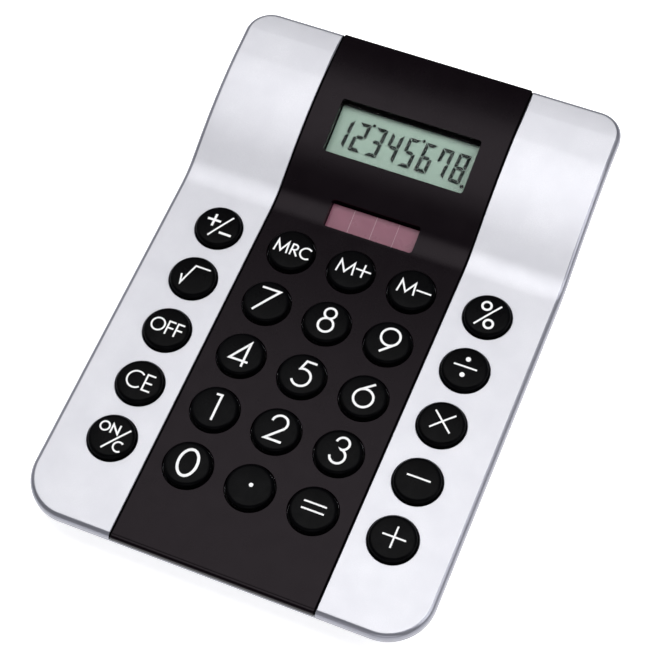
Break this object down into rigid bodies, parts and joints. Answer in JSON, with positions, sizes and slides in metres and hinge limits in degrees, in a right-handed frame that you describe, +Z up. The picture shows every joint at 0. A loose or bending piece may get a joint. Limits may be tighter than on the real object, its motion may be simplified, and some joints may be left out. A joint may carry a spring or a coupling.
{
  "type": "pocket calculator",
  "caption": "Dual-power calculator with a waved silver case, dark centre strip, round keys, solar cell and sliding battery door.",
  "frame": {"origin": "centre of the box in plan, at the level of the undersides of the four feet", "axes": "+X to the user's right, +Y from the user's edge towards the display, +Z up from the desk"},
  "size_m": [0.105, 0.1496, 0.0313],
  "materials": {
    "silver_paint": "fine-grained metallic silver paint over moulded plastic, satin",
    "dark_strip": "satin brown-black moulded plastic",
    "black_key": "soft-gloss black plastic with white printed legends",
    "clear_lens": "clear window",
    "display_glass": "grey-green reflective liquid-crystal panel",
    "solar_glass": "mauve-brown amorphous cell under glass",
    "black_plastic": "matt black",
    "amber_film": "amber polymer film",
    "grey_rubber": "matt silicone rubber",
    "green_board": "solder-masked board",
    "steel": "plated steel",
    "tan_body": "lacquered body",
    "red_wire": "insulation",
    "black_wire": "insulation",
    "black_rubber": "matt rubber"
  },
  "bodies": {
    "case": {"top_housing": "silver_paint", "bottom_housing": "silver_paint", "fascia_strip": "dark_strip", "display_lens": "clear_lens", "display_panel": "display_glass", "solar_cell": "solar_glass", "display_holder": "black_plastic", "chip_resin": "black_plastic", "display_ribbon": "amber_film", "key_mat": "grey_rubber", "main_board": "green_board", "board_screw_front_left": "steel", "board_screw_front_right": "steel", "board_screw_rear_left": "steel", "board_screw_rear_right": "steel", "case_screw_front_left": "steel", "case_screw_front_right": "steel", "case_screw_rear_left": "steel", "case_screw_rear_right": "steel", "contact_positive": "steel", "contact_negative": "steel", "button_cell": "steel", "capacitor": "steel", "resistor": "tan_body", "solar_lead_red": "red_wire", "battery_lead_red": "red_wire", "solar_lead_black": "black_wire", "battery_lead_black": "black_wire", "foot_front_left": "black_rubber", "foot_front_right": "black_rubber", "foot_rear_left": "black_rubber", "foot_rear_right": "black_rubber"},
    "key_mrc": {"key_mrc": "black_key"},
    "key_m_plus": {"key_m_plus": "black_key"},
    "key_m_minus": {"key_m_minus": "black_key"},
    "key_7": {"key_7": "black_key"},
    "key_8": {"key_8": "black_key"},
    "key_9": {"key_9": "black_key"},
    "key_4": {"key_4": "black_key"},
    "key_5": {"key_5": "black_key"},
    "key_6": {"key_6": "black_key"},
    "key_1": {"key_1": "black_key"},
    "key_2": {"key_2": "black_key"},
    "key_3": {"key_3": "black_key"},
    "key_0": {"key_0": "black_key"},
    "key_point": {"key_point": "black_key"},
    "key_equals": {"key_equals": "black_key"},
    "key_plus_minus": {"key_plus_minus": "black_key"},
    "key_root": {"key_root": "black_key"},
    "key_off": {"key_off": "black_key"},
    "key_ce": {"key_ce": "black_key"},
    "key_on_c": {"key_on_c": "black_key"},
    "key_percent": {"key_percent": "black_key"},
    "key_divide": {"key_divide": "black_key"},
    "key_multiply": {"key_multiply": "black_key"},
    "key_subtract": {"key_subtract": "black_key"},
    "key_add": {"key_add": "black_key"},
    "battery_door": {"battery_door": "silver_paint"}
  },
  "joints": [
    {"name": "key_mrc_press", "type": "slide", "parent": "case", "child": "key_mrc", "axis": [0, 0.061, -0.9981], "range_m": [0, 0.001], "stiffness_N_per_m": 600, "springref_m": -0.0003, "deforming": ["key_mat"]},
    {"name": "key_m_plus_press", "type": "slide", "parent": "case", "child": "key_m_plus", "axis": [0, 0.061, -0.9981], "range_m": [0, 0.001], "stiffness_N_per_m": 600, "springref_m": -0.0003, "deforming": ["key_mat"]},
    {"name": "key_m_minus_press", "type": "slide", "parent": "case", "child": "key_m_minus", "axis": [0, 0.061, -0.9981], "range_m": [0, 0.001], "stiffness_N_per_m": 600, "springref_m": -0.0003, "deforming": ["key_mat"]},
    {"name": "key_7_press", "type": "slide", "parent": "case", "child": "key_7", "axis": [0, 0.061, -0.9981], "range_m": [0, 0.001], "stiffness_N_per_m": 600, "springref_m": -0.0003, "deforming": ["key_mat"]},
    {"name": "key_8_press", "type": "slide", "parent": "case", "child": "key_8", "axis": [0, 0.061, -0.9981], "range_m": [0, 0.001], "stiffness_N_per_m": 600, "springref_m": -0.0003, "deforming": ["key_mat"]},
    {"name": "key_9_press", "type": "slide", "parent": "case", "child": "key_9", "axis": [0, 0.061, -0.9981], "range_m": [0, 0.001], "stiffness_N_per_m": 600, "springref_m": -0.0003, "deforming": ["key_mat"]},
    {"name": "key_4_press", "type": "slide", "parent": "case", "child": "key_4", "axis": [0, 0.061, -0.9981], "range_m": [0, 0.001], "stiffness_N_per_m": 600, "springref_m": -0.0003, "deforming": ["key_mat"]},
    {"name": "key_5_press", "type": "slide", "parent": "case", "child": "key_5", "axis": [0, 0.061, -0.9981], "range_m": [0, 0.001], "stiffness_N_per_m": 600, "springref_m": -0.0003, "deforming": ["key_mat"]},
    {"name": "key_6_press", "type": "slide", "parent": "case", "child": "key_6", "axis": [0, 0.061, -0.9981], "range_m": [0, 0.001], "stiffness_N_per_m": 600, "springref_m": -0.0003, "deforming": ["key_mat"]},
    {"name": "key_1_press", "type": "slide", "parent": "case", "child": "key_1", "axis": [0, 0.061, -0.9981], "range_m": [0, 0.001], "stiffness_N_per_m": 600, "springref_m": -0.0003, "deforming": ["key_mat"]},
    {"name": "key_2_press", "type": "slide", "parent": "case", "child": "key_2", "axis": [0, 0.061, -0.9981], "range_m": [0, 0.001], "stiffness_N_per_m": 600, "springref_m": -0.0003, "deforming": ["key_mat"]},
    {"name": "key_3_press", "type": "slide", "parent": "case", "child": "key_3", "axis": [0, 0.061, -0.9981], "range_m": [0, 0.001], "stiffness_N_per_m": 600, "springref_m": -0.0003, "deforming": ["key_mat"]},
    {"name": "key_0_press", "type": "slide", "parent": "case", "child": "key_0", "axis": [0, 0.061, -0.9981], "range_m": [0, 0.001], "stiffness_N_per_m": 600, "springref_m": -0.0003, "deforming": ["key_mat"]},
    {"name": "key_point_press", "type": "slide", "parent": "case", "child": "key_point", "axis": [0, 0.061, -0.9981], "range_m": [0, 0.001], "stiffness_N_per_m": 600, "springref_m": -0.0003, "deforming": ["key_mat"]},
    {"name": "key_equals_press", "type": "slide", "parent": "case", "child": "key_equals", "axis": [0, 0.061, -0.9981], "range_m": [0, 0.001], "stiffness_N_per_m": 600, "springref_m": -0.0003, "deforming": ["key_mat"]},
    {"name": "key_plus_minus_press", "type": "slide", "parent": "case", "child": "key_plus_minus", "axis": [0, 0.061, -0.9981], "range_m": [0, 0.001], "stiffness_N_per_m": 600, "springref_m": -0.0003, "deforming": ["key_mat"]},
    {"name": "key_root_press", "type": "slide", "parent": "case", "child": "key_root", "axis": [0, 0.061, -0.9981], "range_m": [0, 0.001], "stiffness_N_per_m": 600, "springref_m": -0.0003, "deforming": ["key_mat"]},
    {"name": "key_off_press", "type": "slide", "parent": "case", "child": "key_off", "axis": [0, 0.061, -0.9981], "range_m": [0, 0.001], "stiffness_N_per_m": 600, "springref_m": -0.0003, "deforming": ["key_mat"]},
    {"name": "key_ce_press", "type": "slide", "parent": "case", "child": "key_ce", "axis": [0, 0.061, -0.9981], "range_m": [0, 0.001], "stiffness_N_per_m": 600, "springref_m": -0.0003, "deforming": ["key_mat"]},
    {"name": "key_on_c_press", "type": "slide", "parent": "case", "child": "key_on_c", "axis": [0, 0.061, -0.9981], "range_m": [0, 0.001], "stiffness_N_per_m": 600, "springref_m": -0.0003, "deforming": ["key_mat"]},
    {"name": "key_percent_press", "type": "slide", "parent": "case", "child": "key_percent", "axis": [0, 0.061, -0.9981], "range_m": [0, 0.001], "stiffness_N_per_m": 600, "springref_m": -0.0003, "deforming": ["key_mat"]},
    {"name": "key_divide_press", "type": "slide", "parent": "case", "child": "key_divide", "axis": [0, 0.061, -0.9981], "range_m": [0, 0.001], "stiffness_N_per_m": 600, "springref_m": -0.0003, "deforming": ["key_mat"]},
    {"name": "key_multiply_press", "type": "slide", "parent": "case", "child": "key_multiply", "axis": [0, 0.061, -0.9981], "range_m": [0, 0.001], "stiffness_N_per_m": 600, "springref_m": -0.0003, "deforming": ["key_mat"]},
    {"name": "key_subtract_press", "type": "slide", "parent": "case", "child": "key_subtract", "axis": [0, 0.061, -0.9981], "range_m": [0, 0.001], "stiffness_N_per_m": 600, "springref_m": -0.0003, "deforming": ["key_mat"]},
    {"name": "key_add_press", "type": "slide", "parent": "case", "child": "key_add", "axis": [0, 0.061, -0.9981], "range_m": [0, 0.001], "stiffness_N_per_m": 600, "springref_m": -0.0003, "deforming": ["key_mat"]},
    {"name": "battery_door_slide", "type": "slide", "parent": "case", "child": "battery_door", "axis": [0, 1, 0], "range_m": [0, 0.012]}
  ]
}
